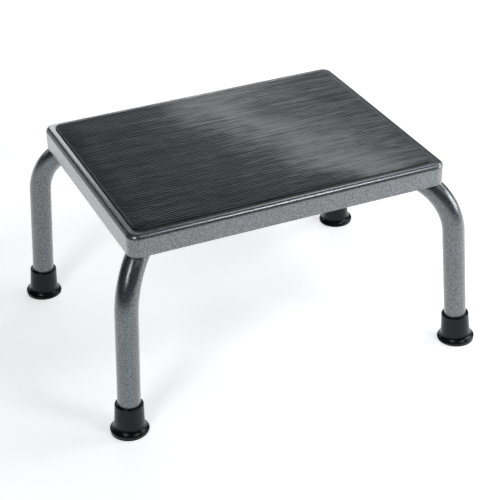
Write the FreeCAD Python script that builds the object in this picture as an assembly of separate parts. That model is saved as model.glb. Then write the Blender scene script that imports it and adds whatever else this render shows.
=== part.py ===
import FreeCAD
import Part

import math
import os

# One-step foot stool: a pressed steel pan on two V-shaped tube leg frames, a ribbed rubber mat on top
# and four rubber tips. Millimetres, +Z up, origin on the floor under the middle of the stool.
# +X runs along the platform's long side. "front" is the -Y side, "left" is the -X side.

# Platform pan, pressed from sheet
PAN_LENGTH = 370.0
PAN_WIDTH = 292.0
PAN_TOP = 229.0
PAN_SHEET = 1.5
SKIRT_HEIGHT = 25.0
SKIRT_CORNER_RADIUS = 12.5
PAN_EDGE_RADIUS = 5.5

# Ribbed mat and the adhesive film under it
MAT_INSET = 9.7
MAT_CORNER_RADIUS = 10.0
MAT_THICKNESS = 2.3
MAT_EDGE_RADIUS = 0.7
ADHESIVE_THICKNESS = 0.2

# Leg tubes
TUBE_DIAMETER = 25.4
TUBE_WALL = 1.4
TUBE_AXIS_TOP = 208.8
LEG_BEND_RADIUS = 70.5
APEX_BEND_RADIUS = 72.0
ARM_ANGLE = 43.5
FOOT_X = 202.9
FOOT_Y = 154.6
SPLAY_X = 0.0535
SPLAY_Y = 0.0335

# Hat-section stiffeners between the pan and the tubes
CHANNEL_SHEET = 2.0
CHANNEL_WEB_WIDTH = 40.0
CHANNEL_FLANGE_WIDTH = 12.0
CHANNEL_LENGTH = 250.0
CHANNEL_EDGE_RADIUS = 1.5

# Leg fasteners, M6
STUD_DIAMETER = 6.0
STUD_HEAD_DIAMETER = 12.0
STUD_HEAD_HEIGHT = 2.0
STUD_ENTRY_IN_NUT = 8.0
STUD_CHAMFER = 0.7
BOLT_HOLE_DIAMETER = 6.6
SADDLE_DIAMETER = 18.0
SADDLE_THICKNESS = 2.5
LOCK_WASHER_OUTER = 11.0
LOCK_WASHER_INNER = 6.4
LOCK_WASHER_THICKNESS = 1.6
LOCK_WASHER_GAP = 1.2
NUT_ACROSS_FLATS = 10.0
NUT_HEX_HEIGHT = 5.5
NUT_HEIGHT = 12.0
NUT_DOME_RADIUS = 4.7
NUT_BORE_DEPTH = 9.0
NUT_CHAMFER = 0.6

# Rubber tips: heights run up the leg's axis from the floor
TIP_HEIGHT = 34.5
TIP_FLOOR = 7.0
TIP_BASE_RADIUS = 20.8
TIP_RIM_RADIUS = 21.4
TIP_RIM_HEIGHT = 2.8
TIP_RIM_ROUND = 0.8
TIP_SLEEVE_FOOT_RADIUS = 16.5
TIP_SLEEVE_FOOT_HEIGHT = 12.0
TIP_FLARE_SAGITTA = 1.5
TIP_LIP_RADIUS = 15.7
TIP_LIP_ROUND = 1.4
TIP_UNDERCUT = 3.0
TIP_GROOVE_DEPTH = 1.2
TIP_GROOVES = ((0.0, 5.0), (8.0, 10.5), (13.5, 16.0))
TIP_WASHER_THICKNESS = 1.5
TIP_WASHER_HOLE = 6.0
TIP_WASHER_CLEARANCE = 0.3

FLOOR_BLOCK = 60.0
ROOT_HALF = math.sqrt(0.5)
QUARTER_ROUND = 1 - ROOT_HALF
SIDES = {"left": -1, "right": 1}
ENDS = {"front": -1, "back": 1}

pan_underside = PAN_TOP - PAN_SHEET
tube_radius = TUBE_DIAMETER / 2
web_bottom = TUBE_AXIS_TOP + tube_radius
arm_direction = (math.cos(math.radians(ARM_ANGLE)), math.sin(math.radians(ARM_ANGLE)))


def vec(x, y, z):
    return FreeCAD.Vector(x, y, z)


def export(name, shape):
    shape.exportStep(os.path.join("parts", name + ".step"))


def rounded_prism(length, width, bottom, top, radius):
    """A box centred on the Z axis with its four upright edges rounded."""
    box = Part.makeBox(length, width, top - bottom, vec(-length / 2, -width / 2, bottom))
    upright = [e for e in box.Edges if abs(e.BoundBox.ZLength - (top - bottom)) < 1e-6]
    return box.makeFillet(radius, upright)


def round_rim(shape, height, radius):
    """Rounds the edges that lie flat at one height."""
    flat = [e for e in shape.Edges if e.BoundBox.ZLength < 1e-6 and abs(e.BoundBox.ZMin - height) < 1e-6]
    return shape.makeFillet(radius, flat)


def make_pan():
    skirt_bottom = PAN_TOP - SKIRT_HEIGHT
    outer = rounded_prism(PAN_LENGTH, PAN_WIDTH, skirt_bottom, PAN_TOP, SKIRT_CORNER_RADIUS)
    outer = round_rim(outer, PAN_TOP, PAN_EDGE_RADIUS)
    inner = rounded_prism(
        PAN_LENGTH - 2 * PAN_SHEET,
        PAN_WIDTH - 2 * PAN_SHEET,
        skirt_bottom - PAN_SHEET,
        pan_underside,
        SKIRT_CORNER_RADIUS - PAN_SHEET,
    )
    inner = round_rim(inner, pan_underside, PAN_EDGE_RADIUS - PAN_SHEET)
    return outer.cut(inner)


def mat_outline(bottom, top):
    length = PAN_LENGTH - 2 * MAT_INSET
    width = PAN_WIDTH - 2 * MAT_INSET
    return rounded_prism(length, width, bottom, top, MAT_CORNER_RADIUS)


def make_adhesive():
    return mat_outline(PAN_TOP, PAN_TOP + ADHESIVE_THICKNESS)


def make_mat():
    bottom = PAN_TOP + ADHESIVE_THICKNESS
    return round_rim(mat_outline(bottom, bottom + MAT_THICKNESS), bottom + MAT_THICKNESS, MAT_EDGE_RADIUS)


def leg_corner():
    """Where the line of a leg meets the line of its arm, in the +X +Y quarter."""
    return vec(FOOT_X - SPLAY_X * TUBE_AXIS_TOP, FOOT_Y - SPLAY_Y * TUBE_AXIS_TOP, TUBE_AXIS_TOP)


def stud_place():
    """Middle of the straight run of an arm, in the +X +Y quarter."""
    corner = leg_corner()
    to_apex = corner.y / arm_direction[1]
    start = corner_setback(LEG_BEND_RADIUS, leg_axis().getAngle(vec(-arm_direction[0], -arm_direction[1], 0)))
    end = to_apex - corner_setback(APEX_BEND_RADIUS, math.pi - 2 * math.radians(ARM_ANGLE))
    along = (start + end) / 2
    return vec(corner.x - along * arm_direction[0], corner.y - along * arm_direction[1], TUBE_AXIS_TOP)


def leg_axis():
    """Unit vector up a leg, in the +X +Y quarter."""
    return vec(-SPLAY_X, -SPLAY_Y, 1).normalize()


def corner_setback(radius, turn):
    """How far from its corner a bend begins."""
    return radius * math.tan(turn / 2)


def bend(before, corner, after, radius):
    """The arc that rounds one corner of a path, from tangent point to tangent point."""
    into = (corner - before).normalize()
    out = (after - corner).normalize()
    turn = into.getAngle(out)
    setback = corner_setback(radius, turn)
    start = corner - into * setback
    end = corner + out * setback
    inward = (out - into).normalize()
    middle = corner + inward * (radius / math.cos(turn / 2) - radius)
    return start, middle, end


def tube_path(foot_height):
    """Centre line of one leg frame on the +X side, from the back foot to the front foot."""
    corner = leg_corner()
    foot = vec(FOOT_X - SPLAY_X * foot_height, FOOT_Y - SPLAY_Y * foot_height, foot_height)
    apex = vec(corner.x - corner.y * arm_direction[0] / arm_direction[1], 0, TUBE_AXIS_TOP)
    front_corner = vec(corner.x, -corner.y, corner.z)
    front_foot = vec(foot.x, -foot.y, foot.z)
    corners = [foot, corner, apex, front_corner, front_foot]
    radii = [LEG_BEND_RADIUS, APEX_BEND_RADIUS, LEG_BEND_RADIUS]
    edges = []
    last = foot
    for index, radius in enumerate(radii):
        start, middle, end = bend(*corners[index:index + 3], radius)
        edges.append(Part.LineSegment(last, start).toShape())
        edges.append(Part.Arc(start, middle, end).toShape())
        last = end
    edges.append(Part.LineSegment(last, front_foot).toShape())
    return Part.Wire(edges)


def sweep_round(path, radius):
    start = path.Edges[0].valueAt(path.Edges[0].FirstParameter)
    direction = path.Edges[0].tangentAt(path.Edges[0].FirstParameter)
    disc = Part.Face(Part.Wire(Part.makeCircle(radius, start, direction)))
    return path.makePipe(disc)


def make_leg_frame(side):
    along_axis = TIP_FLOOR + TIP_WASHER_THICKNESS
    path = tube_path(along_axis * leg_axis().z)
    frame = sweep_round(path, tube_radius).cut(sweep_round(path, tube_radius - TUBE_WALL))
    for end in ENDS.values():
        place = stud_place()
        low = vec(place.x, end * place.y, TUBE_AXIS_TOP - TUBE_DIAMETER)
        frame = frame.cut(Part.makeCylinder(BOLT_HOLE_DIAMETER / 2, 2 * TUBE_DIAMETER, low))
    return on_side(frame, side)


def on_side(shape, side):
    """Moves a shape made on the +X side to the side asked for."""
    return shape if side > 0 else shape.rotate(vec(0, 0, 0), vec(0, 0, 1), 180)


def make_channel(side):
    """Hat section along Y: flanges on the pan, web on the tubes."""
    depth = pan_underside - web_bottom
    half_web = CHANNEL_WEB_WIDTH / 2
    half_hat = half_web + CHANNEL_FLANGE_WIDTH
    sheet = CHANNEL_SHEET
    outline = [
        (-half_hat, depth),
        (-half_hat, depth - sheet),
        (-half_web, depth - sheet),
        (-half_web, 0),
        (half_web, 0),
        (half_web, depth - sheet),
        (half_hat, depth - sheet),
        (half_hat, depth),
        (half_web - sheet, depth),
        (half_web - sheet, sheet),
        (-half_web + sheet, sheet),
        (-half_web + sheet, depth),
    ]
    place = stud_place()
    points = [vec(place.x + x, -CHANNEL_LENGTH / 2, web_bottom + z) for x, z in outline]
    hat = Part.Face(Part.makePolygon(points + points[:1])).extrude(vec(0, CHANNEL_LENGTH, 0))
    lower_folds = [
        e for e in hat.Edges
        if abs(e.BoundBox.YLength - CHANNEL_LENGTH) < 1e-6 and abs(e.BoundBox.ZMin - web_bottom) < 1e-6
    ]
    hat = hat.makeFillet(CHANNEL_EDGE_RADIUS, lower_folds)
    for end in ENDS.values():
        low = vec(place.x, end * place.y, web_bottom - CHANNEL_SHEET)
        hat = hat.cut(Part.makeCylinder(BOLT_HOLE_DIAMETER / 2, 3 * CHANNEL_SHEET, low))
    return on_side(hat, side)


def at_studs(make_one, side):
    """One copy of a fastener at each stud of a side."""
    place = stud_place()
    copies = []
    for end in ENDS.values():
        copies.append(make_one(place.x, end * place.y, end))
    return on_side(Part.Compound(copies), side)


tube_bottom = TUBE_AXIS_TOP - tube_radius
saddle_bottom = tube_bottom - SADDLE_THICKNESS
lock_washer_bottom = saddle_bottom - LOCK_WASHER_THICKNESS


def make_stud(x, y, _end):
    """Flat-headed stud, head inside the channel and shank down into the nut."""
    web_top = web_bottom + CHANNEL_SHEET
    head = Part.makeCylinder(STUD_HEAD_DIAMETER / 2, STUD_HEAD_HEIGHT, vec(x, y, web_top))
    tip = lock_washer_bottom - STUD_ENTRY_IN_NUT
    shank = Part.makeCylinder(STUD_DIAMETER / 2, web_top - tip, vec(x, y, tip))
    rim = [e for e in shank.Edges if e.BoundBox.ZLength < 1e-6 and abs(e.BoundBox.ZMin - tip) < 1e-6]
    return head.fuse(shank.makeChamfer(STUD_CHAMFER, rim)).removeSplitter()


def make_saddle_washer(x, y, end):
    """Round washer with its top hollowed to fit under the tube."""
    height = SADDLE_THICKNESS + tube_radius / 2
    disc = Part.makeCylinder(SADDLE_DIAMETER / 2, height, vec(x, y, saddle_bottom))
    bore = Part.makeCylinder(BOLT_HOLE_DIAMETER / 2, height, vec(x, y, saddle_bottom))
    direction = vec(arm_direction[0], end * arm_direction[1], 0)
    start = vec(x, y, TUBE_AXIS_TOP) - direction * SADDLE_DIAMETER
    tube = Part.makeCylinder(tube_radius, 2 * SADDLE_DIAMETER, start, direction)
    return disc.cut(bore).cut(tube)


def make_lock_washer(x, y, _end):
    """Split spring washer."""
    low = vec(x, y, lock_washer_bottom)
    ring = Part.makeCylinder(LOCK_WASHER_OUTER / 2, LOCK_WASHER_THICKNESS, low)
    bore = Part.makeCylinder(LOCK_WASHER_INNER / 2, LOCK_WASHER_THICKNESS, low)
    corner = low + vec(0, -LOCK_WASHER_GAP / 2, 0)
    slit = Part.makeBox(LOCK_WASHER_OUTER, LOCK_WASHER_GAP, LOCK_WASHER_THICKNESS, corner)
    return ring.cut(bore).cut(slit)


def make_cap_nut(x, y, _end):
    """Domed hexagon nut, opening upwards."""
    top = lock_washer_bottom
    points = []
    for corner in range(7):
        angle = math.radians(60 * corner)
        reach = NUT_ACROSS_FLATS / 2 / math.cos(math.pi / 6)
        points.append(vec(x + reach * math.cos(angle), y + reach * math.sin(angle), top - NUT_HEX_HEIGHT))
    hexagon = Part.Face(Part.makePolygon(points)).extrude(vec(0, 0, NUT_HEX_HEIGHT))
    rounding = Part.makeCone(
        NUT_ACROSS_FLATS / 2 + NUT_HEX_HEIGHT + NUT_CHAMFER,
        NUT_ACROSS_FLATS / 2 + NUT_CHAMFER,
        NUT_HEX_HEIGHT,
        vec(x, y, top - NUT_HEX_HEIGHT),
    )
    hexagon = hexagon.common(rounding)
    dome_centre = top - NUT_HEIGHT + NUT_DOME_RADIUS
    barrel = Part.makeCylinder(NUT_DOME_RADIUS, top - dome_centre, vec(x, y, dome_centre))
    dome = Part.makeSphere(NUT_DOME_RADIUS, vec(x, y, dome_centre))
    bore = Part.makeCylinder(STUD_DIAMETER / 2, NUT_BORE_DEPTH, vec(x, y, top - NUT_BORE_DEPTH))
    return hexagon.fuse([barrel, dome]).removeSplitter().cut(bore)


def on_leg(shape, side, end):
    """Puts a shape made around the Z axis onto the axis of one leg."""
    axis = vec(-side * SPLAY_X, -end * SPLAY_Y, 1)
    placement = FreeCAD.Placement(vec(side * FOOT_X, end * FOOT_Y, 0), FreeCAD.Rotation(vec(0, 0, 1), axis))
    placed = shape.copy()
    placed.Placement = placement
    return placed


def lathe(edges):
    """Turns a closed outline in the XZ plane about the Z axis."""
    return Part.Face(Part.Wire(edges)).revolve(vec(0, 0, 0), vec(0, 0, 1), 360)


def line(a, b):
    return Part.LineSegment(vec(a[0], 0, a[1]), vec(b[0], 0, b[1])).toShape()


def arc(a, middle, b):
    return Part.Arc(vec(a[0], 0, a[1]), vec(middle[0], 0, middle[1]), vec(b[0], 0, b[1])).toShape()


def hollow_point(low, high, sagitta):
    """Middle of an arc that sags towards the axis between two outline points."""
    run = high[0] - low[0]
    rise = high[1] - low[1]
    chord = math.hypot(run, rise)
    across = (low[0] + high[0]) / 2 - sagitta * rise / chord
    up = (low[1] + high[1]) / 2 + sagitta * run / chord
    return (across, up)


def make_rubber_tip(side, end):
    """Ferrule: sleeve round the tube, trumpet-shaped foot, cut level with the floor."""
    bottom = (0, -TIP_UNDERCUT)
    base = (TIP_BASE_RADIUS, -TIP_UNDERCUT)
    heel = (TIP_BASE_RADIUS, 0)
    rim = (TIP_RIM_RADIUS, TIP_RIM_HEIGHT)
    rim_corner = (TIP_RIM_RADIUS - TIP_RIM_ROUND * QUARTER_ROUND, TIP_RIM_HEIGHT + TIP_RIM_ROUND * ROOT_HALF)
    rim_top = (TIP_RIM_RADIUS - TIP_RIM_ROUND, TIP_RIM_HEIGHT + TIP_RIM_ROUND)
    sleeve_foot = (TIP_SLEEVE_FOOT_RADIUS, TIP_SLEEVE_FOOT_HEIGHT)
    lip_outside = (TIP_LIP_RADIUS, TIP_HEIGHT - TIP_LIP_ROUND)
    lip_corner = (TIP_LIP_RADIUS - TIP_LIP_ROUND * QUARTER_ROUND, TIP_HEIGHT - TIP_LIP_ROUND * QUARTER_ROUND)
    lip_top = (TIP_LIP_RADIUS - TIP_LIP_ROUND, TIP_HEIGHT)
    bore_top = (tube_radius, TIP_HEIGHT)
    bore_bottom = (tube_radius, TIP_FLOOR)
    floor_centre = (0, TIP_FLOOR)
    body = lathe([
        line(bottom, base),
        line(base, heel),
        line(heel, rim),
        arc(rim, rim_corner, rim_top),
        arc(rim_top, hollow_point(rim_top, sleeve_foot, TIP_FLARE_SAGITTA), sleeve_foot),
        line(sleeve_foot, lip_outside),
        arc(lip_outside, lip_corner, lip_top),
        line(lip_top, bore_top),
        line(bore_top, bore_bottom),
        line(bore_bottom, floor_centre),
        line(floor_centre, bottom),
    ])
    tip = on_leg(body, side, end)
    foot = vec(side * FOOT_X, end * FOOT_Y, 0)
    half = FLOOR_BLOCK / 2
    under = Part.makeBox(FLOOR_BLOCK, FLOOR_BLOCK, FLOOR_BLOCK, foot - vec(half, half, FLOOR_BLOCK))
    tip = tip.cut(under)
    for inner, outer in TIP_GROOVES:
        groove = Part.makeCylinder(outer, TIP_GROOVE_DEPTH, foot)
        if inner > 0:
            groove = groove.cut(Part.makeCylinder(inner, TIP_GROOVE_DEPTH, foot))
        tip = tip.cut(groove)
    return tip


def make_tip_washer(side, end):
    """Steel disc that keeps the tube's end from cutting the rubber."""
    low = vec(0, 0, TIP_FLOOR)
    disc = Part.makeCylinder(tube_radius - TIP_WASHER_CLEARANCE, TIP_WASHER_THICKNESS, low)
    hole = Part.makeCylinder(TIP_WASHER_HOLE / 2, TIP_WASHER_THICKNESS, low)
    return on_leg(disc.cut(hole), side, end)


def main():
    os.makedirs("parts", exist_ok=True)
    export("platform_pan", make_pan())
    export("mat_adhesive", make_adhesive())
    export("tread_mat", make_mat())
    for side_name, side in SIDES.items():
        export("leg_frame_" + side_name, make_leg_frame(side))
        export("stiffener_channel_" + side_name, make_channel(side))
        export("weld_studs_" + side_name, at_studs(make_stud, side))
        export("saddle_washers_" + side_name, at_studs(make_saddle_washer, side))
        export("lock_washers_" + side_name, at_studs(make_lock_washer, side))
        export("cap_nuts_" + side_name, at_studs(make_cap_nut, side))
        for end_name, end in ENDS.items():
            place_name = end_name + "_" + side_name
            export("rubber_tip_" + place_name, make_rubber_tip(side, end))
            export("tip_washer_" + place_name, make_tip_washer(side, end))


main()
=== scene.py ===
import math

import bmesh
import bpy
from mathutils import Matrix, Vector


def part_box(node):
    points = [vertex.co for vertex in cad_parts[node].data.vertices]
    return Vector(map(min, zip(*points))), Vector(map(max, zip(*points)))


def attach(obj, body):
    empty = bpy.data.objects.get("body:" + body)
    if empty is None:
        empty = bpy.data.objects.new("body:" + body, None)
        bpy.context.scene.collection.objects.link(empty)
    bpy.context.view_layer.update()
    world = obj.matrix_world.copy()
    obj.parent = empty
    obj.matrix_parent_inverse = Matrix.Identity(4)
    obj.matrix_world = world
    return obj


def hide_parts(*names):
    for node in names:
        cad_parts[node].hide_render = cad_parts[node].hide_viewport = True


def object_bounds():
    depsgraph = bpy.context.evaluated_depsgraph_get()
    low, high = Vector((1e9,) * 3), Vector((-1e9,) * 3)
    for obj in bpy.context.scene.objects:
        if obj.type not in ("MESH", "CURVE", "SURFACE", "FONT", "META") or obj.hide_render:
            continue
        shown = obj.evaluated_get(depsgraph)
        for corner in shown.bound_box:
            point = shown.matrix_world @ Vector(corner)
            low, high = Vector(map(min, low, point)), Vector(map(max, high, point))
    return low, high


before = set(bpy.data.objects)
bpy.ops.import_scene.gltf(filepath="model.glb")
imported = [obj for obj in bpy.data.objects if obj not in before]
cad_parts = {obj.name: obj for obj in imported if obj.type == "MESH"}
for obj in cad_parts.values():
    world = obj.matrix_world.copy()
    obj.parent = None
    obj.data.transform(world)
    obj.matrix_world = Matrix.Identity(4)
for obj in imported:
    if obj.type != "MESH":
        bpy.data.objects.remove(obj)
cad_low, cad_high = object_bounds()

MM = 0.001

# Camera: where it stands round the stool, and what it looks at
CAMERA_AZIMUTH = -23.41
CAMERA_ELEVATION = 30.9
CAMERA_ROLL = -1.42
CAMERA_DISTANCE = 1.7292
CAMERA_LENS = 105.97
CAMERA_SENSOR = 36.0
AIM = Vector((0.0074, -0.0070, 0.0905))

# Ribs of the tread mat
RIB_PITCH = 3.6 * MM
RIB_HEIGHT = 0.6 * MM
RIB_RISE = 1.0 * MM
RIB_STEPS = 8
RIB_FULLNESS = 0.6
MAT_MARGIN = 1.4 * MM
MAT_ROUND = 0.45 * MM
MAT_CORNER = 10.0 * MM
MAT_COLUMNS = 14
# The mat's rounded edge from its top to its foot: way out and way down, as shares of MAT_ROUND
MAT_EDGE = ((0.38, 0.08), (0.71, 0.29), (0.92, 0.62), (1.0, 1.0))

# Painted sheen on the mat: a pale band across it
SHEEN_BAND_ACROSS = (0.92, 0.38, 0.0)
SHEEN_BAND_REACH = 0.15

# Studio: the floor glows round the stool and fades with distance from the middle of the glow
FLOOR_GLOW = 0.56
FLOOR_GLOW_FAR = 0.04
GLOW_MIDDLE = (0.3, 0.3, 0.0)
GLOW_NEAR = 0.9
GLOW_END = 2.0
FLOOR_HALF_SIZE = 12.0
FLOOR_DROP = 0.2 * MM
WORLD_COLOUR = (0.9, 0.95, 1.0, 1)
WORLD_STRENGTH = 0.02
LIGHT_COLOUR = (0.96, 0.985, 1.0)
CAMERA_REACH = 60.0

# Soft boxes: name, azimuth, elevation, distance and size in metres, watts
SOFT_BOXES = (
    ("right_box", 93, 36, 2.4, (1.0, 1.3), 11.5),
    ("front_right_near_box", 64, 14, 0.9, (0.4, 0.3), 1.9),
    ("front_right_box", 34, 50, 2.4, (0.5, 0.6), 10.0),
    ("front_left_box", -50, 42, 2.4, (0.5, 1.2), 12.0),
    ("back_right_box", 140, 50, 2.4, (0.7, 0.7), 4.5),
    ("back_horizon_box", 160, 8, 2.4, (1.4, 0.3), 5.5),
    ("back_window", 172, 25, 2.4, (1.2, 0.5), 5.0),
    ("back_left_box", -150, 12, 2.4, (0.9, 0.5), 1.4),
)

SIDES = ("left", "right")
ENDS = ("front", "back")

# Paint of the platform and of the tubes: dark and light flake, roughness, roughness of the skin
PAN_PAINT = ((0.06, 0.065, 0.071), (0.275, 0.295, 0.314), 0.31, 0.07)
TUBE_PAINT = ((0.04, 0.044, 0.049), (0.214, 0.231, 0.247), 0.3, 0.15)

# Sizes of surface detail, in features per metre
DIMPLES = 740.0
VEINS = 960.0
PAINT_DRIFT = 28.0
MAT_SWAY = 14.0
MAT_STREAKS = 120.0
MAT_FINE_STREAKS = 480.0
MAT_GRAIN = 1500.0
TIP_CLOUD = 90.0
TIP_BANDS = 260.0
TIP_GRAIN = 1800.0
ZINC_BLOTCHES = 160.0
ZINC_SCRATCHES = 2200.0
ADHESIVE_CLOUD = 240.0
FLOOR_TINT = 3.0

# Stretch of a texture that runs along X in streaks, and of one that runs up and down
STREAKS_ALONG = (0.07, 1.0, 1.0)
FINE_STREAKS_ALONG = (0.05, 1.0, 1.0)
BANDS_UPRIGHT = (1.0, 1.0, 0.06)
SCRATCHES_UPRIGHT = (1.0, 1.0, 0.1)


# Node material helpers

def new_material(name):
    """An empty node material with its Principled shader."""
    material = bpy.data.materials.new(name)
    material.use_nodes = True
    nodes = material.node_tree.nodes
    nodes.clear()
    shader = nodes.new("ShaderNodeBsdfPrincipled")
    output = nodes.new("ShaderNodeOutputMaterial")
    material.node_tree.links.new(shader.outputs["BSDF"], output.inputs["Surface"])
    return material, shader


def add(material, kind, inputs=None, **settings):
    """A node with its settings, and its inputs set or linked."""
    node = material.node_tree.nodes.new(kind)
    for name, value in settings.items():
        setattr(node, name, value)
    for name, value in (inputs or {}).items():
        connect(material, node, name, value)
    return node


def connect(material, node, name, value):
    """Sets an input to a value, or links it to another node's output."""
    if isinstance(value, bpy.types.NodeSocket):
        material.node_tree.links.new(value, node.inputs[name])
    else:
        node.inputs[name].default_value = value


def object_coordinates(material, scale=(1, 1, 1)):
    """Points in the object's own frame, in metres, stretched by scale."""
    place = add(material, "ShaderNodeTexCoord")
    stretch = add(material, "ShaderNodeMapping", {"Vector": place.outputs["Object"], "Scale": scale})
    return stretch.outputs["Vector"]


def noise(material, vector, scale, detail=3.0, roughness=0.55):
    """Cloudy noise, 0..1, with scale in features per metre."""
    return add(
        material,
        "ShaderNodeTexNoise",
        {"Vector": vector, "Scale": scale, "Detail": detail, "Roughness": roughness},
    ).outputs["Fac"]


def ramp(material, factor, *stops):
    """A colour ramp; each stop is a position and a colour, with or without its alpha."""
    node = add(material, "ShaderNodeValToRGB", {"Fac": factor})
    elements = node.color_ramp.elements
    while len(elements) < len(stops):
        elements.new(0.5)
    for element, (position, colour) in zip(elements, stops):
        element.position = position
        element.color = colour if len(colour) == 4 else (*colour, 1)
    return node.outputs["Color"]


def grey(value):
    """A neutral colour."""
    return (value, value, value, 1)


def spread(material, factor, low, high):
    """Maps 0..1 to low..high."""
    return add(
        material, "ShaderNodeMapRange", {"Value": factor, "To Min": low, "To Max": high}
    ).outputs["Result"]


def mix(material, factor, a, b):
    """Blends from a to b; each may be a value or another node's output."""
    node = add(material, "ShaderNodeMix", data_type="RGBA")
    for socket, value in ((node.inputs[0], factor), (node.inputs[6], a), (node.inputs[7], b)):
        if isinstance(value, bpy.types.NodeSocket):
            material.node_tree.links.new(value, socket)
        else:
            socket.default_value = value
    return node.outputs[2]


def bump(material, height, strength, distance, normal=None):
    """A normal that height raises by up to distance, on top of another normal if one is given."""
    inputs = {"Height": height, "Strength": strength, "Distance": distance}
    if normal is not None:
        inputs["Normal"] = normal
    return add(material, "ShaderNodeBump", inputs).outputs["Normal"]


# Materials

def hammered_paint(name, dark, light, roughness, gloss):
    """Silver-vein enamel: metal flake in a grey body, under a glossy skin with small dimples."""
    material, shader = new_material(name)
    place = object_coordinates(material)
    dimples = add(
        material,
        "ShaderNodeTexVoronoi",
        {"Vector": place, "Scale": DIMPLES, "Smoothness": 0.7, "Randomness": 1.0},
        feature="SMOOTH_F1",
    ).outputs["Distance"]
    veins = noise(material, place, VEINS, 2.0, 0.5)
    drift = noise(material, place, PAINT_DRIFT, 3.0)
    fleck = mix(material, 0.6, dimples, veins)
    tone = ramp(material, fleck, (0.32, dark), (0.58, light))
    warm = tuple(0.55 * a + 0.45 * b for a, b in zip(dark, light))
    warm = (warm[0] * 1.06, warm[1], warm[2] * 0.9, 1)
    tone = mix(material, spread(material, drift, 0.0, 0.4), tone, warm)
    connect(material, shader, "Base Color", tone)
    connect(material, shader, "Roughness", spread(material, veins, roughness - 0.06, roughness + 0.06))
    shader.inputs["Metallic"].default_value = 0.75
    shader.inputs["Coat Weight"].default_value = 1.0
    shader.inputs["Coat Roughness"].default_value = gloss
    connect(material, shader, "Normal", bump(material, fleck, 0.3, 0.6 * MM))
    connect(material, shader, "Coat Normal", bump(material, fleck, 0.08, 0.6 * MM))
    return material


def mat_painted_sheen_band(material, place, sway):
    """Where the mat is painted pale as sheen (0..1): a band across it with a wavering edge."""
    across = add(
        material,
        "ShaderNodeVectorMath",
        {0: place, 1: SHEEN_BAND_ACROSS},
        operation="DOT_PRODUCT",
    ).outputs["Value"]
    band = add(
        material,
        "ShaderNodeMapRange",
        {"Value": across, "From Min": -SHEEN_BAND_REACH, "From Max": SHEEN_BAND_REACH, "To Min": -0.08, "To Max": 0.92},
        clamp=False,
    ).outputs["Result"]
    waver = spread(material, sway, -0.12, 0.28)
    band = add(material, "ShaderNodeMath", {0: band, 1: waver}, operation="ADD").outputs["Value"]
    # The brightest stop is the middle of the band of painted sheen.
    return ramp(
        material,
        band,
        (0.1, grey(0.0)),
        (0.36, grey(0.18)),
        (0.5, grey(0.45)),
        (0.66, grey(1.0)),
        (0.82, grey(0.62)),
        (1.0, grey(0.5)),
    )


def mat_rubber():
    """Black ribbed matting, with a pale band of painted sheen across the middle and streaks of painted sheen
    along the ribs.
    """
    material, shader = new_material("mat_rubber_ribbed")
    place = object_coordinates(material)
    sway = noise(material, place, MAT_SWAY, 3.0, 0.55)
    # A pale band of painted sheen across the middle of the mat.
    painted_sheen_band = mat_painted_sheen_band(material, place, sway)
    streaks = noise(material, object_coordinates(material, STREAKS_ALONG), MAT_STREAKS, 6.0, 0.75)
    fine = noise(material, object_coordinates(material, FINE_STREAKS_ALONG), MAT_FINE_STREAKS, 2.0, 0.6)
    grain = noise(material, place, MAT_GRAIN, 2.0)
    line = spread(material, mix(material, 0.5, streaks, fine), -1.3, 2.3)
    # Painted sheen: the pale band and the streaks along the ribs, which set the colour and the roughness.
    pattern_mix = mix(material, 0.4, painted_sheen_band, line)
    # The pale end of this ramp is painted sheen.
    colour = ramp(
        material,
        pattern_mix,
        (0.08, (0.003, 0.006, 0.010)),
        (0.42, (0.04, 0.046, 0.053)),
        (0.85, (0.29, 0.297, 0.3)),
    )
    connect(material, shader, "Base Color", colour)
    connect(material, shader, "Roughness", spread(material, pattern_mix, 0.42, 0.26))
    shader.inputs["Specular IOR Level"].default_value = 0.3
    waves = bump(material, sway, 0.5, 4.0 * MM)
    drawn = bump(material, line, 0.45, 0.6 * MM, waves)
    connect(material, shader, "Normal", bump(material, grain, 0.12, 0.1 * MM, drawn))
    return material


def tip_rubber():
    """Moulded black rubber with a soft gloss."""
    material, shader = new_material("tip_rubber_moulded")
    place = object_coordinates(material)
    cloud = noise(material, place, TIP_CLOUD, 3.0)
    grain = noise(material, place, TIP_GRAIN, 2.0)
    bands = noise(material, object_coordinates(material, BANDS_UPRIGHT), TIP_BANDS, 3.0)
    shade = mix(material, 0.5, cloud, bands)
    connect(
        material,
        shader,
        "Base Color",
        ramp(material, shade, (0.3, (0.002, 0.004, 0.006)), (0.75, (0.006, 0.009, 0.012))),
    )
    connect(material, shader, "Roughness", spread(material, shade, 0.16, 0.36))
    shader.inputs["Specular IOR Level"].default_value = 0.24
    connect(material, shader, "Normal", bump(material, mix(material, 0.5, cloud, grain), 0.12, 0.3 * MM))
    return material


def zinc_plate():
    """Bright zinc plate with faint blotches and fine scratches."""
    material, shader = new_material("zinc_plated_steel")
    place = object_coordinates(material)
    blotch = noise(material, place, ZINC_BLOTCHES, 4.0)
    scratch = noise(material, object_coordinates(material, SCRATCHES_UPRIGHT), ZINC_SCRATCHES, 2.0)
    tone = ramp(material, blotch, (0.3, (0.42, 0.44, 0.45)), (0.7, (0.62, 0.62, 0.6)))
    connect(material, shader, "Base Color", tone)
    pattern_mix = mix(material, 0.5, blotch, scratch)
    connect(material, shader, "Roughness", spread(material, pattern_mix, 0.2, 0.45))
    shader.inputs["Metallic"].default_value = 1.0
    connect(material, shader, "Normal", bump(material, scratch, 0.1, 0.1 * MM))
    return material


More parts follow.
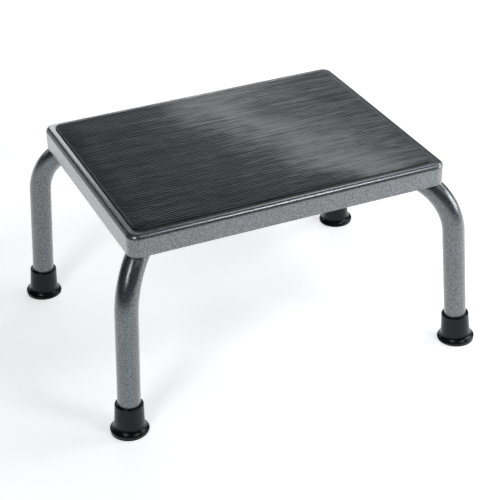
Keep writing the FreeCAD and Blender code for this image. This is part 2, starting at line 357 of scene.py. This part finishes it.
def adhesive_film():
    """Clear amber contact adhesive, slightly uneven."""
    material, shader = new_material("contact_adhesive")
    cloud = noise(material, object_coordinates(material), ADHESIVE_CLOUD, 3.0)
    tone = ramp(material, cloud, (0.3, (0.2, 0.17, 0.1)), (0.7, (0.34, 0.3, 0.2)))
    connect(material, shader, "Base Color", tone)
    connect(material, shader, "Roughness", spread(material, cloud, 0.35, 0.6))
    connect(material, shader, "Normal", bump(material, cloud, 0.3, 0.3 * MM))
    return material


def paint(node_name, material):
    """Gives a CAD node one material."""
    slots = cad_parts[node_name].data.materials
    slots.clear()
    slots.append(material)


# The ribbed mat

def rib_rows(half_width):
    """The y of each row of the mat's top from front to back, and how high its rib stands there (0..1)."""
    ribbed = half_width - MAT_MARGIN
    count = int(2 * ribbed / RIB_PITCH)
    first = -count * RIB_PITCH / 2
    rows = [(-half_width, 0.0), (-half_width + MAT_MARGIN / 2, 0.0)]
    for step in range(count * RIB_STEPS + 1):
        wave = 0.5 - 0.5 * math.cos(2 * math.pi * step / RIB_STEPS)
        rows.append((first + step * RIB_PITCH / RIB_STEPS, wave ** RIB_FULLNESS))
    rows += [(half_width - MAT_MARGIN / 2, 0.0), (half_width, 0.0)]
    return rows


def mat_stations(y, half_length, half_width, corner):
    """The x of each point of one row of the mat's top, and how far the ribs have risen there (0..1)."""
    over = max(0.0, abs(y) - (half_width - corner))
    reach = half_length - corner + math.sqrt(max(0.0, corner ** 2 - over ** 2))
    pull = half_length - reach
    inner = half_length - MAT_MARGIN - RIB_RISE
    stations = [(reach, 0.0), (reach - MAT_MARGIN, 0.0), (inner - pull, 1.0)]
    for column in range(1, MAT_COLUMNS):
        stations.append(((inner - pull) * (1 - 2 * column / MAT_COLUMNS), 1.0))
    return stations + [(pull - inner, 1.0), (MAT_MARGIN - reach, 0.0), (-reach, 0.0)]


def build_mat():
    """The tread mat as one closed skin: ribs along X inside a plain margin, rounded top edge."""
    low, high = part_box("tread_mat")
    half_length = (high.x - low.x) / 2 - MAT_ROUND
    half_width = (high.y - low.y) / 2 - MAT_ROUND
    corner = MAT_CORNER - MAT_ROUND
    plain_top = high.z - RIB_HEIGHT
    mesh = bmesh.new()
    grid = []
    for y, wave in rib_rows(half_width):
        stations = mat_stations(y, half_length, half_width, corner)
        grid.append([mesh.verts.new((x, y, plain_top + RIB_HEIGHT * wave * rise)) for x, rise in stations])
    for front, back in zip(grid, grid[1:]):
        for a, b, c, d in zip(front, front[1:], back[1:], back):
            mesh.faces.new((d, c, b, a))
    left = [row[-1] for row in reversed(grid)]
    rim = [row[0] for row in grid] + grid[-1][1:-1] + left + grid[0][-2:0:-1]
    levels = [(out, plain_top - drop * MAT_ROUND) for out, drop in MAT_EDGE] + [(1.0, low.z)]
    loop = rim
    for out, z in levels:
        next_loop = []
        for v in rim:
            normal = outline_normal(v.co, half_length, half_width, corner)
            place = Vector((v.co.x, v.co.y, 0)) + normal * out * MAT_ROUND
            next_loop.append(mesh.verts.new((place.x, place.y, z)))
        for index, v in enumerate(loop):
            after = (index + 1) % len(loop)
            mesh.faces.new((v, loop[after], next_loop[after], next_loop[index]))
        loop = next_loop
    mesh.faces.new(reversed(loop))
    bmesh.ops.recalc_face_normals(mesh, faces=mesh.faces)
    return finish_mesh(mesh, "ribbed_tread_mat")


def outline_normal(point, half_length, half_width, corner):
    """The way out of a rounded rectangle at a point on its edge."""
    centre_x = half_length - corner
    centre_y = half_width - corner
    x = math.copysign(max(0.0, abs(point.x) - centre_x), point.x)
    y = math.copysign(max(0.0, abs(point.y) - centre_y), point.y)
    return Vector((x, y, 0)).normalized()


def finish_mesh(mesh, name):
    """Turns a bmesh into a smooth-shaded object in the scene."""
    data = bpy.data.meshes.new(name)
    mesh.to_mesh(data)
    mesh.free()
    data.shade_smooth()
    piece = bpy.data.objects.new(name, data)
    bpy.context.scene.collection.objects.link(piece)
    return piece


# Stage

def area_light(name, azimuth, elevation, distance, size, power):
    """A soft box that faces the stool. Azimuth 0 stands in front, 90 on the right."""
    light = bpy.data.lights.new(name, "AREA")
    light.shape = "RECTANGLE"
    light.size, light.size_y = size
    light.energy = power
    light.color = LIGHT_COLOUR
    lamp = bpy.data.objects.new(name, light)
    a, e = math.radians(azimuth), math.radians(elevation)
    away = Vector((math.sin(a) * math.cos(e), -math.cos(a) * math.cos(e), math.sin(e)))
    middle = (cad_low + cad_high) / 2
    lamp.location = middle + away * distance
    lamp.rotation_mode = "QUATERNION"
    lamp.rotation_quaternion = away.to_track_quat("Z", "Y")
    bpy.context.scene.collection.objects.link(lamp)


def floor_glow(material):
    """How strongly the floor glows: evenly round the stool, then fading with distance."""
    apart = add(
        material,
        "ShaderNodeVectorMath",
        {0: object_coordinates(material), 1: GLOW_MIDDLE},
        operation="DISTANCE",
    ).outputs["Value"]
    return add(
        material,
        "ShaderNodeMapRange",
        {
            "Value": apart,
            "From Min": GLOW_NEAR,
            "From Max": GLOW_END,
            "To Min": FLOOR_GLOW,
            "To Max": FLOOR_GLOW_FAR,
        },
    ).outputs["Result"]


def build_floor():
    """A pale studio floor that glows a little, so that it reads as white."""
    mesh = bmesh.new()
    bmesh.ops.create_grid(mesh, x_segments=2, y_segments=2, size=FLOOR_HALF_SIZE)
    floor = finish_mesh(mesh, "studio_floor")
    floor.location.z = -FLOOR_DROP
    material, shader = new_material("studio_floor_white")
    tint = noise(material, object_coordinates(material), FLOOR_TINT)
    tone = ramp(material, tint, (0.3, grey(0.93)), (0.7, grey(0.95)))
    connect(material, shader, "Base Color", tone)
    shader.inputs["Roughness"].default_value = 0.9
    shader.inputs["Specular IOR Level"].default_value = 0.1
    shader.inputs["Emission Color"].default_value = (1, 1, 1, 1)
    connect(material, shader, "Emission Strength", floor_glow(material))
    floor.data.materials.append(material)


def build_camera():
    """The camera at the photograph's viewing angle."""
    camera = bpy.data.cameras.new("camera")
    camera.lens = CAMERA_LENS
    camera.sensor_width = CAMERA_SENSOR
    camera.clip_end = CAMERA_REACH
    view = bpy.data.objects.new("camera", camera)
    a, e, r = (math.radians(v) for v in (CAMERA_AZIMUTH, CAMERA_ELEVATION, CAMERA_ROLL))
    back = Vector((math.sin(a) * math.cos(e), -math.cos(a) * math.cos(e), math.sin(e)))
    level = Vector((0, 0, 1)).cross(back).normalized()
    upright = back.cross(level)
    right = math.cos(r) * level + math.sin(r) * upright
    up = math.cos(r) * upright - math.sin(r) * level
    turn = Matrix((right, up, back)).transposed().to_4x4()
    view.matrix_world = Matrix.Translation(AIM + back * CAMERA_DISTANCE) @ turn
    bpy.context.scene.collection.objects.link(view)
    bpy.context.scene.camera = view


def build_light():
    """Soft boxes in a nearly dark room."""
    world = bpy.data.worlds.new("studio")
    world.use_nodes = True
    background = world.node_tree.nodes["Background"]
    background.inputs["Color"].default_value = WORLD_COLOUR
    background.inputs["Strength"].default_value = WORLD_STRENGTH
    bpy.context.scene.world = world
    for box in SOFT_BOXES:
        area_light(*box)
    bpy.context.scene.view_settings.view_transform = "Standard"


def paint_nodes():
    """Gives every CAD node its material."""
    painted = hammered_paint("silver_vein_paint", *PAN_PAINT)
    painted_tube = hammered_paint("silver_vein_paint_tube", *TUBE_PAINT)
    rubber = tip_rubber()
    zinc = zinc_plate()
    paint("platform_pan", painted)
    paint("mat_adhesive", adhesive_film())
    for side in SIDES:
        paint("leg_frame_" + side, painted_tube)
        paint("stiffener_channel_" + side, painted)
        for fastener in ("weld_studs_", "saddle_washers_", "lock_washers_", "cap_nuts_"):
            paint(fastener + side, zinc)
        for end in ENDS:
            paint("rubber_tip_" + end + "_" + side, rubber)
            paint("tip_washer_" + end + "_" + side, zinc)


def lay_mat():
    """Puts the ribbed mat in the place of the plain one."""
    mat = build_mat()
    mat.data.materials.append(mat_rubber())
    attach(mat, "root")
    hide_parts("tread_mat")


build_camera()
build_light()
build_floor()
paint_nodes()
lay_mat()
